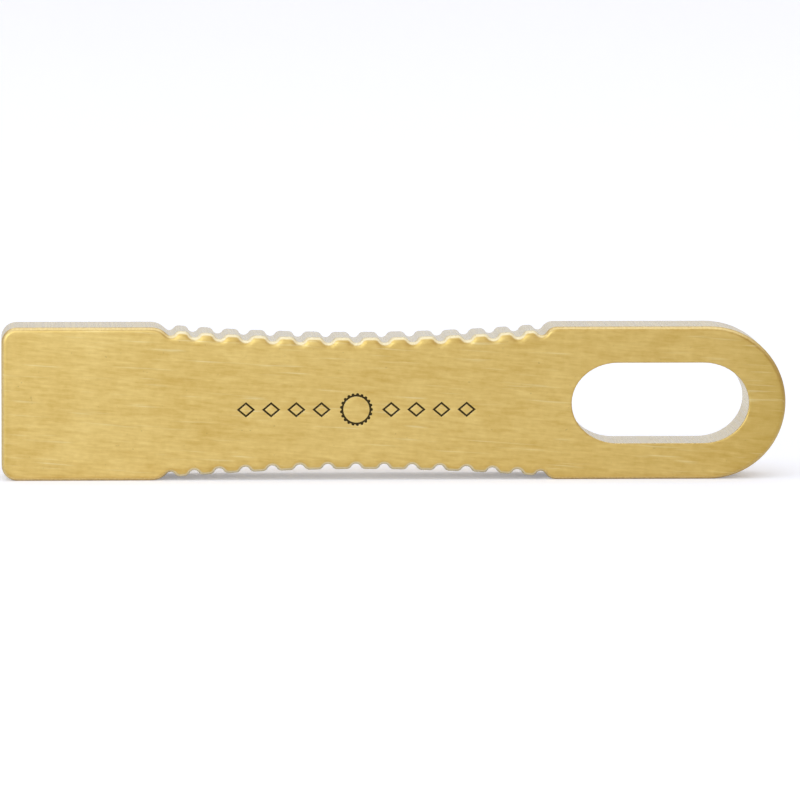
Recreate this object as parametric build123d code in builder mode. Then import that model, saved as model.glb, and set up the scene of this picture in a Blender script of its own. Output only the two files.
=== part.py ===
from build123d import *
import math
import os

# Keychain bottle opener, machined from brass flat bar. It stands on a long narrow edge:
# X runs along the bar towards the key-ring slot, -Y is the broad front face, +Z is up.
# The origin is the middle of the edge that it stands on. All sizes are in millimetres.

# Bar stock
LENGTH = 81.1
HEIGHT = 15.875
THICKNESS = 6.35
CORNER_RADIUS = 1.6
EDGE_ROUND = 0.45

# Waisted grip: each long edge bows in, and grooves cross it
GRIP_CENTRE_X = -4.0
GROOVES_PER_EDGE = 15
GROOVE_SPREAD = 32.95
GROOVE_STEP_RAD = 0.0886
WAIST_DEPTH = 1.10
WAIST_END_DEPTH = 0.31
GROOVE_RADIUS = 0.56
LAND_RADIUS = 0.6
BLOCK_SHOULDER_RADIUS = 2.1
SLOT_SHOULDER_RADIUS = 1.35

# Key-ring slot, with half-ellipse ends
SLOT_CENTRE_X = 27.5
SLOT_LENGTH = 18.41
SLOT_HEIGHT = 8.38
SLOT_END_LENGTH = 4.77
SLOT_EDGE_ROUND = 0.1

# Cap pocket in the back of the block end
NOSE_THICKNESS = 2.95
MOUTH_LENGTH = 7.2
POCKET_HEIGHT = 12.7
POCKET_DEPTH = 3.0
POCKET_CORNER_RADIUS = 1.5
MOUTH_ROUND = 0.3

# Catch plate, let in flush over the pocket's inner end
CATCH_LENGTH = 7.8
CATCH_HEIGHT = 11.4
CATCH_THICKNESS = 1.2
CATCH_OVERHANG = 1.5
CATCH_CORNER_RADIUS = 1.0
CATCH_TIP_BEVEL = 0.35
SEAT_GAP = 0.04

# M2 countersunk screws that hold the catch plate
SCREW_SPACING = 6.4
SCREW_RADIUS = 1.0
SCREW_LENGTH = 4.0
SCREW_HOLE_RADIUS = 1.1
SCREW_HEAD_RADIUS = 1.9
SCREW_HEAD_SINK = 0.05
SCREW_SOCKET_RADIUS = 0.75
SCREW_SOCKET_DEPTH = 0.65
SCREW_TIP_BEVEL = 0.25
THREAD_GAP = 0.02
TAPPED_DEPTH = 4.5

# Ornament cut shallowly into the front face: a crown cap between rows of open diamonds
MARK_DROP = 0.6
MARK_DEPTH = 0.05
MARK_STROKE = 0.2
CAP_MARK_RADIUS = 1.55
CAP_MARK_FLUTES = 21
CAP_MARK_FLUTE_RADIUS = 0.16
DIAMOND_COUNT = 4
DIAMOND_FIRST_X = 3.6
DIAMOND_PITCH = 2.6
DIAMOND_WIDTH = 1.9
DIAMOND_HEIGHT = 1.6

# Derived places
MID_Z = HEIGHT / 2
LEFT_X = -LENGTH / 2
END_CENTRE_X = LENGTH / 2 - HEIGHT / 2
NOSE_X = LEFT_X + NOSE_THICKNESS
TOOTH_X = NOSE_X + MOUTH_LENGTH
CATCH_CENTRE_X = TOOTH_X + CATCH_LENGTH / 2
SCREW_X = (TOOTH_X + CATCH_OVERHANG + TOOTH_X + CATCH_LENGTH) / 2
FRONT_Y = -THICKNESS / 2
BACK_Y = THICKNESS / 2
SCREW_HEIGHTS = (MID_Z - SCREW_SPACING / 2, MID_Z + SCREW_SPACING / 2)
HEAD_TOP_Y = BACK_Y - SCREW_HEAD_SINK
HEAD_TOP_RADIUS = SCREW_HEAD_RADIUS - SCREW_HEAD_SINK
SCREW_TIP_Y = BACK_Y - SCREW_LENGTH
OVERCUT = 1.0

# Sketch planes whose normal points forwards (-Y), with local x along X and local y along Z
FRONT_PLANE = Plane.XZ.offset(-FRONT_Y)
BACK_PLANE = Plane.XZ.offset(-BACK_Y)
# Sketch plane on the back face whose normal points backwards (+Y), with local y along Z
BACK_OUT_PLANE = Plane(origin=(0, BACK_Y, 0), x_dir=(-1, 0, 0), z_dir=(0, 1, 0))
SCREW_PLACES = [(-SCREW_X, screw_z) for screw_z in SCREW_HEIGHTS]

groove_offsets = [
    GROOVE_SPREAD * math.sin((i - GROOVES_PER_EDGE // 2) * GROOVE_STEP_RAD)
    for i in range(GROOVES_PER_EDGE)
]
GRIP_HALF = groove_offsets[-1]
# Corners beside the grooves: where they lie along the grip, and how far they are rounded
GROOVE_CORNERS = [
    (-GRIP_HALF, GRIP_HALF, LAND_RADIUS),
    (-GRIP_HALF - GROOVE_RADIUS, -GRIP_HALF, BLOCK_SHOULDER_RADIUS),
    (GRIP_HALF, GRIP_HALF + GROOVE_RADIUS, SLOT_SHOULDER_RADIUS),
]
WAIST_RISE = WAIST_DEPTH - WAIST_END_DEPTH
WAIST_RADIUS = (GRIP_HALF**2 + WAIST_RISE**2) / (2 * WAIST_RISE)


def land_point(offset, side):
    """Point of the waist arc at a distance along the grip, on the upper (1) or lower (-1) edge."""
    depth = WAIST_DEPTH - WAIST_RADIUS + math.sqrt(WAIST_RADIUS**2 - offset**2)
    return (GRIP_CENTRE_X + offset, MID_Z + side * (MID_Z - depth))


def waist_cut(side):
    """Face that bows one long edge in between the two end grooves."""
    outside = MID_Z + side * (MID_Z + OVERCUT)
    start = land_point(-GRIP_HALF, side)
    end = land_point(GRIP_HALF, side)
    with BuildLine() as bow:
        ThreePointArc(start, land_point(0, side), end)
        Polyline(end, (end[0], outside), (start[0], outside), start)
    make_face(bow.edges(), mode=Mode.SUBTRACT)


def slot_outline():
    """Key-ring slot: a rectangle between two half ellipses."""
    straight = SLOT_LENGTH - 2 * SLOT_END_LENGTH
    with Locations((SLOT_CENTRE_X, MID_Z)):
        Rectangle(straight, SLOT_HEIGHT)
        with Locations((-straight / 2, 0), (straight / 2, 0)):
            Ellipse(SLOT_END_LENGTH, SLOT_HEIGHT / 2)


def crown_cap_mark():
    """Fluted ring of a crown cap seen from above."""
    Circle(CAP_MARK_RADIUS)
    with PolarLocations(CAP_MARK_RADIUS, CAP_MARK_FLUTES):
        Circle(CAP_MARK_FLUTE_RADIUS)
    Circle(CAP_MARK_RADIUS - MARK_STROKE, mode=Mode.SUBTRACT)


def diamond(scale, mode):
    """One diamond of the ornament's rows."""
    half_width = scale * DIAMOND_WIDTH / 2
    half_height = scale * DIAMOND_HEIGHT / 2
    Polygon(
        (-half_width, 0),
        (0, -half_height),
        (half_width, 0),
        (0, half_height),
        mode=mode,
    )


def mark_outline():
    """The whole ornament, centred on the grip."""
    with Locations((GRIP_CENTRE_X, MID_Z - MARK_DROP)):
        crown_cap_mark()
        row = [DIAMOND_FIRST_X + i * DIAMOND_PITCH for i in range(DIAMOND_COUNT)]
        inner_scale = 1 - 2 * MARK_STROKE * math.hypot(1 / DIAMOND_WIDTH, 1 / DIAMOND_HEIGHT)
        with Locations(*[(side * x, 0) for x in row for side in (1, -1)]):
            diamond(1, Mode.ADD)
            diamond(inner_scale, Mode.SUBTRACT)


# Brass bar: grooved outline, rounded edges, slot, cap pocket, catch seat and ornament
with BuildPart() as bar_body:
    with BuildSketch(BACK_PLANE) as outline:
        with Locations((-HEIGHT / 4, MID_Z)):
            Rectangle(LENGTH - HEIGHT / 2, HEIGHT)
        fillet(outline.vertices().group_by(Axis.X)[0], CORNER_RADIUS)
        with Locations((END_CENTRE_X, MID_Z)):
            Circle(HEIGHT / 2)
        for edge_side in (1, -1):
            waist_cut(edge_side)
            with Locations(*[land_point(offset, edge_side) for offset in groove_offsets]):
                Circle(GROOVE_RADIUS, mode=Mode.SUBTRACT)
    extrude(amount=THICKNESS)

    for first, last, corner_radius in GROOVE_CORNERS:
        cross_edges = bar_body.edges().filter_by(Axis.Y)
        fillet(
            cross_edges.filter_by(lambda e: first < e.center().X - GRIP_CENTRE_X < last),
            corner_radius,
        )
    fillet(bar_body.faces().filter_by(Axis.Y).edges(), EDGE_ROUND)

    with BuildSketch(BACK_PLANE):
        slot_outline()
    extrude(amount=THICKNESS, mode=Mode.SUBTRACT)
    slot_edges = bar_body.faces().filter_by(Axis.Y).edges()
    fillet(
        slot_edges.filter_by(
            lambda e: abs(e.center().X - SLOT_CENTRE_X) < SLOT_LENGTH / 2
            and abs(e.center().Z - MID_Z) < SLOT_HEIGHT / 2 + SLOT_EDGE_ROUND
        ),
        SLOT_EDGE_ROUND,
    )

    with BuildSketch(BACK_PLANE) as pocket:
        pocket_length = MOUTH_LENGTH + CATCH_OVERHANG
        with Locations((NOSE_X + pocket_length / 2, MID_Z)):
            Rectangle(pocket_length, POCKET_HEIGHT)
        fillet(pocket.vertices(), POCKET_CORNER_RADIUS)
    extrude(amount=POCKET_DEPTH, mode=Mode.SUBTRACT)
    fillet(
        bar_body.faces().sort_by(Axis.Y)[-1].edges().filter_by(
            lambda e: NOSE_X - 0.1 < e.center().X < NOSE_X + pocket_length + 0.1
            and abs(e.center().Z - MID_Z) < POCKET_HEIGHT / 2 + 0.1
        ),
        MOUTH_ROUND,
    )

    with BuildSketch(BACK_PLANE) as seat:
        with Locations((CATCH_CENTRE_X, MID_Z)):
            Rectangle(CATCH_LENGTH + 2 * SEAT_GAP, CATCH_HEIGHT + 2 * SEAT_GAP)
        fillet(seat.vertices().group_by(Axis.X)[-1], CATCH_CORNER_RADIUS + SEAT_GAP)
    extrude(amount=CATCH_THICKNESS, mode=Mode.SUBTRACT)

    with Locations(BACK_OUT_PLANE):
        with Locations(*SCREW_PLACES):
            Hole(SCREW_RADIUS + THREAD_GAP, depth=TAPPED_DEPTH)

    with BuildSketch(FRONT_PLANE):
        mark_outline()
    extrude(amount=-MARK_DEPTH, mode=Mode.SUBTRACT)
bar_body.part.label = "bar_body"

# Steel catch plate: its free end is the tooth that hooks under a crown cap's skirt
with BuildPart() as cap_catch:
    with BuildSketch(BACK_PLANE) as plate:
        with Locations((CATCH_CENTRE_X, MID_Z)):
            Rectangle(CATCH_LENGTH, CATCH_HEIGHT)
        fillet(plate.vertices().group_by(Axis.X)[-1], CATCH_CORNER_RADIUS)
    extrude(amount=CATCH_THICKNESS)
    tip_edge = cap_catch.edges().filter_by(Axis.Z).group_by(Axis.X)[0].sort_by(Axis.Y)[-1]
    chamfer(tip_edge, CATCH_TIP_BEVEL)
    with Locations(BACK_OUT_PLANE):
        with Locations(*SCREW_PLACES):
            CounterSinkHole(
                SCREW_HOLE_RADIUS,
                SCREW_HEAD_RADIUS,
                depth=CATCH_THICKNESS,
                counter_sink_angle=90,
            )
cap_catch.part.label = "cap_catch"

# Two countersunk screws with hexagon sockets, as two solids of one piece
with BuildPart() as catch_screws:
    for screw_z in SCREW_HEIGHTS:
        with BuildSketch(Plane.XY.offset(screw_z)) as screw_half:
            with BuildLine():
                Polyline(
                    (SCREW_X, HEAD_TOP_Y),
                    (SCREW_X + HEAD_TOP_RADIUS, HEAD_TOP_Y),
                    (SCREW_X + SCREW_RADIUS, HEAD_TOP_Y - HEAD_TOP_RADIUS + SCREW_RADIUS),
                    (SCREW_X + SCREW_RADIUS, SCREW_TIP_Y + SCREW_TIP_BEVEL),
                    (SCREW_X + SCREW_RADIUS - SCREW_TIP_BEVEL, SCREW_TIP_Y),
                    (SCREW_X, SCREW_TIP_Y),
                    close=True,
                )
            make_face()
        revolve(axis=Axis((SCREW_X, 0, screw_z), (0, 1, 0)))
    with BuildSketch(Plane.XZ.offset(-HEAD_TOP_Y)):
        with Locations(*[(SCREW_X, screw_z) for screw_z in SCREW_HEIGHTS]):
            RegularPolygon(SCREW_SOCKET_RADIUS, 6)
    extrude(amount=SCREW_SOCKET_DEPTH, mode=Mode.SUBTRACT)
catch_screws.part.label = "catch_screws"

os.makedirs("parts", exist_ok=True)
export_step(bar_body.part, "parts/bar_body.step")
export_step(cap_catch.part, "parts/cap_catch.step")
export_step(catch_screws.part, "parts/catch_screws.step")
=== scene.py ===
import math

import bpy
from mathutils import Matrix, Vector


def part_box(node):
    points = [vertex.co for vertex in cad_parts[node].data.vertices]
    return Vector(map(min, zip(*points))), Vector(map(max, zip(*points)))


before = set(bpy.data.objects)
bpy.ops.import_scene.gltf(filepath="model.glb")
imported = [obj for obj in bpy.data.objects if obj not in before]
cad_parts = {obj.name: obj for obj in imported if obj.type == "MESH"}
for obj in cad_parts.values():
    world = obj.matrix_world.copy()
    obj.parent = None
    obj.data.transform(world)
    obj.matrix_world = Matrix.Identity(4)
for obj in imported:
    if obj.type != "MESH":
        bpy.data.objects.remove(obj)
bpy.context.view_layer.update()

MM = 0.001
SCENE = bpy.context.scene

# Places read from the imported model
BAR_LOW, BAR_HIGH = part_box("bar_body")
SCREW_LOW, SCREW_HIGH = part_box("catch_screws")
SCREW_MIDDLE = (SCREW_LOW + SCREW_HIGH) / 2
SCREW_HALF_SPACING = (SCREW_HIGH.z - SCREW_LOW.z - SCREW_HIGH.x + SCREW_LOW.x) / 2
FRONT_Y = BAR_LOW.y
MIDDLE = (BAR_LOW + BAR_HIGH) / 2

# Camera: a long lens a little above the bar and a little to the left of square on
CAMERA_DISTANCE = 700 * MM
CAMERA_ELEVATION_DEG = 6.7
CAMERA_YAW_DEG = -3.59
CAMERA_ROLL_DEG = 0.28
LENS_MM = 305.3
SENSOR_WIDTH_MM = 36
CLIP_NEAR, CLIP_FAR = 0.01, 20
AIM = Vector((0.5 * MM, FRONT_Y, MIDDLE.z + 0.385 * MM))

# Grain of each surface: noise cells per metre along X, Y and Z
FINE_STREAK = (520, 3600, 3600)
LONG_STREAK = (110, 1500, 1500)
BRUSH_PATCH = (330, 600, 600)
MILLED_LINE = (4200, 40, 4200)
MOTTLE = (1500, 1500, 1500)
CLOUD = (70, 70, 110)
SCRATCH = (160, 4600, 4600)
NICK = (2600, 2600, 2600)
GROUND_LINE = (4200, 4200, 300)
RINGS_PER_METRE = 9000

# How far the grain falls towards the slot end
FINE_TILT_DEG = 5.0
LONG_TILT_DEG = 2.5
SCRATCH_TILT_DEG = 3.5

# How strongly each layer of grain shows
LONG_SHARE = 0.30
PATCH_SHARE = 0.20
FACE_MOTTLE_SHARE = 0.25
WALL_MOTTLE_SHARE = 0.10
CLOUD_SHARE = 0.20
SCRATCH_SHARE = 0.40
NICK_SHARE = 0.35
SMUDGE_SHARE = 0.30
# Share of the painted reflection that makes the walls paler
WALL_REFLECTION_SHARE = 0.85

# Noise values between which each layer fades in
TONE_RANGE = (0.36, 0.64)
STEEL_TONE_RANGE = (0.32, 0.68)
GRAIN_RANGE = (0.3, 0.7)
SCRATCH_RANGE = (0.66, 0.78)
NICK_RANGE = (0.76, 0.81)

# How far a surface faces forwards or backwards before it counts as a broad face or a wall
BROAD_FACING = (0.80, 0.97)
WALL_FACING = (0.22, 0.06)
MARK_FACING = -0.9

# Roughness of each surface
EDGE_ROUGHNESS = (0.46, 0.58)
WALL_ROUGHNESS = (0.22, 0.32)
FACE_ROUGHNESS = (0.36, 0.46)
STEEL_ROUGHNESS = (0.24, 0.40)
SCRATCH_ROUGHNESS = 0.26
MARK_ROUGHNESS = 0.7
BRUSHED_ANISOTROPY = 0.35

# Relief of the grain, and how softly the edges are shaded
BRASS_RELIEF, BRASS_RELIEF_STRENGTH = 0.012 * MM, 0.30
STEEL_RELIEF, STEEL_RELIEF_STRENGTH = 0.010 * MM, 0.25
WALL_RELIEF = 0.4
SCRATCH_DEPTH = 0.5
NICK_DEPTH = 0.8
BRASS_EDGE_BREAK = 0.26 * MM
GRIP_EDGE_BREAK = 0.90 * MM
STEEL_EDGE_BREAK = 0.06 * MM

# The grooved grip
GRIP_CENTRE_X = -4 * MM
GRIP_HALF_LENGTH = 19.5 * MM
GRIP_FADE = 1 * MM

# Tones, as linear colours
BRASS_DEEP = (0.712, 0.475, 0.125, 1)
BRASS_LIGHT = (0.908, 0.674, 0.241, 1)
# Painted shade tone, mixed in along the bar, at the rounded rim and at both tips
PAINTED_SHADE_TONE = (0.46, 0.29, 0.03, 1)
# Worn edges: wear, with a painted highlight in the lighter tone
BRASS_WEAR_AND_HIGHLIGHT_DEEP = (0.80, 0.60, 0.26, 1)
BRASS_WEAR_AND_HIGHLIGHT_LIGHT = (0.90, 0.72, 0.36, 1)
# Painted highlight: a cream tone on the grip's rounded lands
GRIP_HIGHLIGHT_TONE = (0.97, 0.86, 0.58, 1)
# Painted reflection: paler wall tones, as where the walls mirror the white sweep
WALL_REFLECTION_DEEP = (0.858, 0.758, 0.532, 1)
WALL_REFLECTION_LIGHT = (0.925, 0.825, 0.592, 1)
SCRATCH_TONE = (0.95, 0.82, 0.45, 1)
NICK_TONE = (0.42, 0.28, 0.09, 1)
MARK_TONE = (0.075, 0.055, 0.022, 1)
STEEL_DEEP, STEEL_LIGHT = (0.42, 0.42, 0.41, 1), (0.66, 0.66, 0.65, 1)
SCREW_DEEP, SCREW_LIGHT = (0.36, 0.36, 0.35, 1), (0.58, 0.58, 0.57, 1)

# Painted shade: it darkens the brass evenly along the bar, more at the rounded rim, and a little
# at both tips
RIM_SHADE_START = 33 * MM
RIM_SHADE_FULL = 39 * MM
TIP_LENGTH = 1.2 * MM
EVEN_SHADE = 0.13
RIM_SHADE = 0.25
TIP_SHADE = 0.22

# The ornament's floor lies further in than this, and this near the middle of the grip
MARK_STEP = 0.02 * MM
MARK_REACH_X = 14 * MM
MARK_REACH_Z = 4 * MM

# Paper sweep: its shape, and how much brighter than its reflection the paper is shown
SWEEP_HALF_WIDTH = 2.5
SWEEP_FRONT = -1.5
SWEEP_BEND_START = 0.8
SWEEP_BEND_RADIUS = 0.6
SWEEP_TOP = 2.2
SWEEP_STEPS = 16
PAPER_TONE = (0.86, 0.87, 0.90, 1)
PAPER_ROUGHNESS = 0.9
PAPER_SHEEN = 0.2
PAPER_GLOW = 0.24
PAPER_GLOW_TINT = (1.02, 1.0, 1.04, 1)

# Studio light: a warm room, a cool light on the sweep and a softbox in front on the left
ROOM_TONE = (1.2, 1.0, 0.78, 1)
ROOM_STRENGTH = 0.40
# Each light's name, place, aim, size, power in watts and colour
LIGHTS = [
    ("wall_wash", (0, 0.2, 1.3), (0, 1.4, 0.5), (2.0, 2.0), 13.3, (0.84, 1.0, 1.22)),
    (
        "front_left", (-0.24, -0.42, 0.14), (-0.02, 0, 0.008),
        (0.46, 0.22), 0.84, (0.82, 1.0, 1.32),
    ),
]


class Nodes:
    """Short helper that builds a material's node tree."""

    def __init__(self, name):
        self.material = bpy.data.materials.new(name)
        self.material.use_nodes = True
        self.tree = self.material.node_tree
        self.tree.nodes.clear()
        self.output = self.add("ShaderNodeOutputMaterial")
        self.shader = self.add("ShaderNodeBsdfPrincipled")
        self.link(self.shader.outputs[0], self.output.inputs["Surface"])

    def add(self, kind, **settings):
        node = self.tree.nodes.new(kind)
        for key, value in settings.items():
            setattr(node, key, value)
        return node

    def link(self, source, target):
        self.tree.links.new(source, target)

    def feed(self, socket, value):
        if isinstance(value, bpy.types.NodeSocket):
            self.link(value, socket)
        else:
            socket.default_value = value

    def math(self, operation, a, b=0.0, clamp=False):
        node = self.add("ShaderNodeMath", operation=operation, use_clamp=clamp)
        self.feed(node.inputs[0], a)
        self.feed(node.inputs[1], b)
        return node.outputs[0]

    def mapping(self, vector, scale, tilt_deg=0.0, offset=(0, 0, 0)):
        """Place turned about Y, then scaled, so that the grain itself is tilted."""
        turn = self.add("ShaderNodeMapping")
        self.link(vector, turn.inputs["Vector"])
        turn.inputs["Rotation"].default_value = (0, math.radians(-tilt_deg), 0)
        node = self.add("ShaderNodeMapping")
        self.link(turn.outputs[0], node.inputs["Vector"])
        node.inputs["Scale"].default_value = scale
        node.inputs["Location"].default_value = offset
        return node.outputs[0]

    def part(self, vector, axis):
        node = self.add("ShaderNodeSeparateXYZ")
        self.link(vector, node.inputs[0])
        return node.outputs[axis]

    def bump(self, height, strength, distance, edge_break):
        """Fine relief, over edges that are broken by a small radius."""
        bevel = self.add("ShaderNodeBevel", samples=8)
        self.feed(bevel.inputs["Radius"], edge_break)
        node = self.add("ShaderNodeBump")
        node.inputs["Strength"].default_value = strength
        node.inputs["Distance"].default_value = distance
        self.link(height, node.inputs["Height"])
        self.link(bevel.outputs[0], node.inputs["Normal"])
        self.link(node.outputs[0], self.shader.inputs["Normal"])

    def noise(self, vector, detail=2.0, roughness=0.5):
        node = self.add("ShaderNodeTexNoise")
        self.link(vector, node.inputs["Vector"])
        node.inputs["Scale"].default_value = 1.0
        node.inputs["Detail"].default_value = detail
        node.inputs["Roughness"].default_value = roughness
        return node.outputs["Fac"]

    def remap(self, value, low, high, to_low=0.0, to_high=1.0):
        """Value that goes from one range to another, held at both ends."""
        node = self.add("ShaderNodeMapRange")
        self.link(value, node.inputs["Value"])
        node.inputs["From Min"].default_value = low
        node.inputs["From Max"].default_value = high
        node.inputs["To Min"].default_value = to_low
        node.inputs["To Max"].default_value = to_high
        return node.outputs[0]

    def mix(self, factor, a, b):
        node = self.add("ShaderNodeMix", data_type="RGBA")
        self.feed(node.inputs[0], factor)
        self.feed(node.inputs[6], a)
        self.feed(node.inputs[7], b)
        return node.outputs[2]

    def mix_value(self, factor, a, b):
        node = self.add("ShaderNodeMix", data_type="FLOAT")
        self.feed(node.inputs[0], factor)
        self.feed(node.inputs[2], a)
        self.feed(node.inputs[3], b)
        return node.outputs[0]


def brass_material():
    """Brushed brass: streaked broad faces, milled walls, handled edges and a dark ornament;
    painted shade, highlight and reflection.
    """
    n = Nodes("brushed_brass")
    coords = n.add("ShaderNodeTexCoord")
    place = coords.outputs["Object"]
    place_x, place_y, place_z = [n.part(place, axis) for axis in "XYZ"]
    normal_y = n.part(coords.outputs["Normal"], "Y")
    facing = n.math("ABSOLUTE", normal_y)
    broad = n.remap(facing, *BROAD_FACING)
    wall = n.remap(facing, *WALL_FACING)
    along = n.math("ABSOLUTE", n.math("SUBTRACT", place_x, GRIP_CENTRE_X))
    in_grip = n.remap(along, GRIP_HALF_LENGTH, GRIP_HALF_LENGTH - GRIP_FADE)

    # Brushing along the broad faces, cutter lines across the milled walls.
    # Each layer is shifted by a few cells so that no two of them line up.
    fine = n.noise(n.mapping(place, FINE_STREAK, FINE_TILT_DEG), 2.0, 0.55)
    long = n.noise(n.mapping(place, LONG_STREAK, LONG_TILT_DEG, (3, 1, 2)), 2.0, 0.5)
    patch = n.noise(n.mapping(place, BRUSH_PATCH, LONG_TILT_DEG, (4, 6, 1)), 1.0, 0.5)
    milled = n.noise(n.mapping(place, MILLED_LINE), 0.5, 0.5)
    mottle = n.noise(n.mapping(place, MOTTLE, 0.0, (7, 2, 4)), 3.0, 0.6)
    cloud = n.noise(n.mapping(place, CLOUD, 0.0, (5, 5, 5)), 2.0, 0.5)
    brushed = n.mix_value(PATCH_SHARE, n.mix_value(LONG_SHARE, fine, long), patch)
    brushed = n.mix_value(FACE_MOTTLE_SHARE, brushed, mottle)
    worked = n.mix_value(WALL_MOTTLE_SHARE, milled, mottle)
    streaks = n.mix_value(broad, worked, brushed)

    # Sparse bright scratches and a few small dark nicks
    scratch = n.noise(n.mapping(place, SCRATCH, SCRATCH_TILT_DEG, (9, 3, 1)), 1.0, 0.5)
    scratch = n.remap(scratch, *SCRATCH_RANGE)
    nick = n.remap(n.noise(n.mapping(place, NICK, 0.0, (2, 8, 6)), 1.0, 0.5), *NICK_RANGE)

    # Brass tones: brushed faces, worn edges with a painted highlight, painted shade and walls
    # paled by a painted reflection
    streak_part = n.math("MULTIPLY", streaks, 1 - CLOUD_SHARE)
    tone = n.math("ADD", streak_part, n.math("MULTIPLY", cloud, CLOUD_SHARE))
    tone = n.remap(tone, *TONE_RANGE)
    base = n.mix(tone, BRASS_DEEP, BRASS_LIGHT)
    # Worn edges: wear plus a painted highlight; on the grip lands a cream painted highlight
    wear_and_highlight = n.mix(tone, BRASS_WEAR_AND_HIGHLIGHT_DEEP, BRASS_WEAR_AND_HIGHLIGHT_LIGHT)
    wear_and_highlight = n.mix(in_grip, wear_and_highlight, GRIP_HIGHLIGHT_TONE)
    base = n.mix(broad, wear_and_highlight, base)
    # Painted shade: darker evenly along the bar, more at the rounded rim and a little at both
    # tips
    painted_shade = n.remap(place_x, BAR_LOW.x, RIM_SHADE_START, 0.0, EVEN_SHADE)
    rim_shade = n.remap(place_x, RIM_SHADE_START, RIM_SHADE_FULL, 0.0, RIM_SHADE)
    painted_shade = n.math("ADD", painted_shade, rim_shade)
    reach = n.math("ABSOLUTE", place_x)
    tip_shade = n.remap(reach, BAR_HIGH.x - TIP_LENGTH, BAR_HIGH.x, 0.0, TIP_SHADE)
    base = n.mix(n.math("ADD", painted_shade, tip_shade), base, PAINTED_SHADE_TONE)
    # Painted reflection: the walls are paler, as where they mirror the white sweep
    wall_reflection = n.mix(tone, WALL_REFLECTION_DEEP, WALL_REFLECTION_LIGHT)
    base = n.mix(n.math("MULTIPLY", wall, WALL_REFLECTION_SHARE), base, wall_reflection)
    base = n.mix(n.math("MULTIPLY", scratch, SCRATCH_SHARE), base, SCRATCH_TONE)
    base = n.mix(n.math("MULTIPLY", nick, NICK_SHARE), base, NICK_TONE)

    # Laser-darkened floor of the ornament
    mark = n.math("GREATER_THAN", place_y, FRONT_Y + MARK_STEP)
    mark = n.math("MULTIPLY", mark, n.math("LESS_THAN", normal_y, MARK_FACING))
    rise = n.math("ABSOLUTE", n.math("SUBTRACT", place_z, MIDDLE.z))
    mark = n.math("MULTIPLY", mark, n.math("LESS_THAN", rise, MARK_REACH_Z))
    mark = n.math("MULTIPLY", mark, n.math("LESS_THAN", along, MARK_REACH_X))
    base = n.mix(mark, base, MARK_TONE)
    n.link(base, n.shader.inputs["Base Color"])

    n.shader.inputs["Metallic"].default_value = 1.0
    n.shader.inputs["Anisotropic"].default_value = BRUSHED_ANISOTROPY
    rough_edge = n.remap(streaks, *GRAIN_RANGE, *EDGE_ROUGHNESS)
    rough_wall = n.remap(streaks, *GRAIN_RANGE, *WALL_ROUGHNESS)
    rough_face = n.remap(streaks, *GRAIN_RANGE, *FACE_ROUGHNESS)
    rough = n.mix_value(wall, n.mix_value(broad, rough_edge, rough_face), rough_wall)
    rough = n.mix_value(n.math("MULTIPLY", scratch, SCRATCH_SHARE), rough, SCRATCH_ROUGHNESS)
    rough = n.mix_value(mark, rough, MARK_ROUGHNESS)
    n.link(rough, n.shader.inputs["Roughness"])

    # Relief: streaks, with scratches and nicks cut into them
    height = n.math("MULTIPLY", streaks, n.remap(wall, 0.0, 1.0, 1.0, WALL_RELIEF))
    height = n.math("SUBTRACT", height, n.math("MULTIPLY", scratch, SCRATCH_DEPTH))
    height = n.math("SUBTRACT", height, n.math("MULTIPLY", nick, NICK_DEPTH))
    edge_break = n.mix_value(in_grip, BRASS_EDGE_BREAK, GRIP_EDGE_BREAK)
    n.bump(height, BRASS_RELIEF_STRENGTH, BRASS_RELIEF, edge_break)
    return n.material


def steel_material(name, deep, light, turned_about=None):
    """Stainless steel: ground in one direction, or turned in rings about each screw."""
    n = Nodes(name)
    place = n.add("ShaderNodeTexCoord").outputs["Object"]
    grain = n.noise(n.mapping(place, GROUND_LINE), 3.0, 0.6)
    if turned_about:
        centre_x, centre_z, half_spacing = turned_about
        across = n.math("SUBTRACT", n.part(place, "X"), centre_x)
        rise = n.math("ABSOLUTE", n.math("SUBTRACT", n.part(place, "Z"), centre_z))
        rise = n.math("SUBTRACT", rise, half_spacing)
        square = n.math("ADD", n.math("MULTIPLY", across, across), n.math("MULTIPLY", rise, rise))
        radius = n.math("MULTIPLY", n.math("SQRT", square), RINGS_PER_METRE)
        rings = n.add("ShaderNodeCombineXYZ")
        n.link(radius, rings.inputs["X"])
        grain = n.noise(rings.outputs[0], 2.0, 0.5)
    smudge = n.noise(n.mapping(place, MOTTLE), 2.0, 0.5)
    tone = n.remap(n.mix_value(SMUDGE_SHARE, grain, smudge), *STEEL_TONE_RANGE)
    n.link(n.mix(tone, deep, light), n.shader.inputs["Base Color"])
    n.shader.inputs["Metallic"].default_value = 1.0
    rough = n.remap(grain, *GRAIN_RANGE, *STEEL_ROUGHNESS)
    n.link(rough, n.shader.inputs["Roughness"])
    n.bump(grain, STEEL_RELIEF_STRENGTH, STEEL_RELIEF, STEEL_EDGE_BREAK)
    return n.material


def give(node_name, material):
    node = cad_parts[node_name]
    node.data.materials.clear()
    node.data.materials.append(material)


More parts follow.
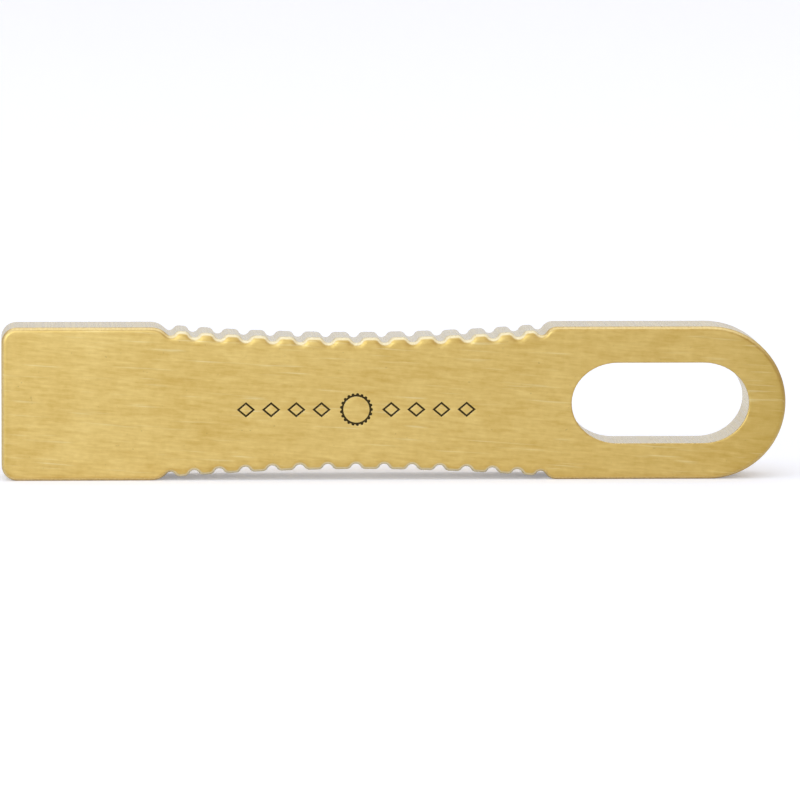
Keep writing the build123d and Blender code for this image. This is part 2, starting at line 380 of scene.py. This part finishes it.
def make_floor():
    """White paper sweep: a floor that curves up into a wall behind the bar."""
    profile = [(SWEEP_FRONT, 0.0)]
    for i in range(SWEEP_STEPS + 1):
        turn = math.pi / 2 * i / SWEEP_STEPS
        bend_y = SWEEP_BEND_START + SWEEP_BEND_RADIUS * math.sin(turn)
        profile.append((bend_y, SWEEP_BEND_RADIUS * (1 - math.cos(turn))))
    profile.append((SWEEP_BEND_START + SWEEP_BEND_RADIUS, SWEEP_TOP))
    points = [(side * SWEEP_HALF_WIDTH, y, z) for y, z in profile for side in (-1, 1)]
    faces = [(2 * i, 2 * i + 1, 2 * i + 3, 2 * i + 2) for i in range(len(profile) - 1)]
    mesh = bpy.data.meshes.new("floor")
    mesh.from_pydata(points, [], faces)
    for polygon in mesh.polygons:
        polygon.use_smooth = True
    floor = bpy.data.objects.new("floor", mesh)
    SCENE.collection.objects.link(floor)
    n = Nodes("floor_paper")
    n.shader.inputs["Base Color"].default_value = PAPER_TONE
    n.shader.inputs["Roughness"].default_value = PAPER_ROUGHNESS
    n.shader.inputs["Specular IOR Level"].default_value = PAPER_SHEEN
    glow = n.add("ShaderNodeEmission")
    glow.inputs["Color"].default_value = PAPER_GLOW_TINT
    glow.inputs["Strength"].default_value = PAPER_GLOW
    both = n.add("ShaderNodeAddShader")
    n.link(n.shader.outputs[0], both.inputs[0])
    n.link(glow.outputs[0], both.inputs[1])
    path = n.add("ShaderNodeLightPath")
    seen = n.add("ShaderNodeMixShader")
    n.link(path.outputs["Is Camera Ray"], seen.inputs[0])
    n.link(n.shader.outputs[0], seen.inputs[1])
    n.link(both.outputs[0], seen.inputs[2])
    n.link(seen.outputs[0], n.output.inputs["Surface"])
    mesh.materials.append(n.material)


def area_light(name, place, aim, size, power, color):
    data = bpy.data.lights.new(name, "AREA")
    data.shape = "RECTANGLE"
    data.size, data.size_y = size
    data.energy = power
    data.color = color
    light = bpy.data.objects.new(name, data)
    SCENE.collection.objects.link(light)
    light.location = place
    direction = Vector(aim) - Vector(place)
    light.rotation_euler = direction.to_track_quat("-Z", "Y").to_euler()


def make_lights():
    world = bpy.data.worlds.new("studio")
    world.use_nodes = True
    background = world.node_tree.nodes["Background"]
    background.inputs["Color"].default_value = ROOM_TONE
    background.inputs["Strength"].default_value = ROOM_STRENGTH
    SCENE.world = world
    for light in LIGHTS:
        area_light(*light)


def make_camera():
    data = bpy.data.cameras.new("camera")
    data.lens = LENS_MM
    data.sensor_width = SENSOR_WIDTH_MM
    data.clip_start, data.clip_end = CLIP_NEAR, CLIP_FAR
    camera = bpy.data.objects.new("camera", data)
    SCENE.collection.objects.link(camera)
    elevation = math.radians(CAMERA_ELEVATION_DEG)
    yaw = math.radians(CAMERA_YAW_DEG)
    level = math.cos(elevation)
    back = Vector((math.sin(yaw) * level, -math.cos(yaw) * level, math.sin(elevation)))
    camera.location = AIM + back * CAMERA_DISTANCE
    turn = (-back).to_track_quat("-Z", "Y").to_matrix().to_4x4()
    roll = Matrix.Rotation(math.radians(CAMERA_ROLL_DEG), 4, "Z")
    camera.matrix_world = Matrix.Translation(camera.location) @ turn @ roll
    SCENE.camera = camera


give("bar_body", brass_material())
catch_steel = steel_material("catch_steel", STEEL_DEEP, STEEL_LIGHT)
give("cap_catch", catch_steel)
rings_about = (SCREW_MIDDLE.x, SCREW_MIDDLE.z, SCREW_HALF_SPACING)
screw_steel = steel_material("screw_steel", SCREW_DEEP, SCREW_LIGHT, rings_about)
give("catch_screws", screw_steel)
make_floor()
make_lights()
make_camera()
SCENE.view_settings.view_transform = "Standard"
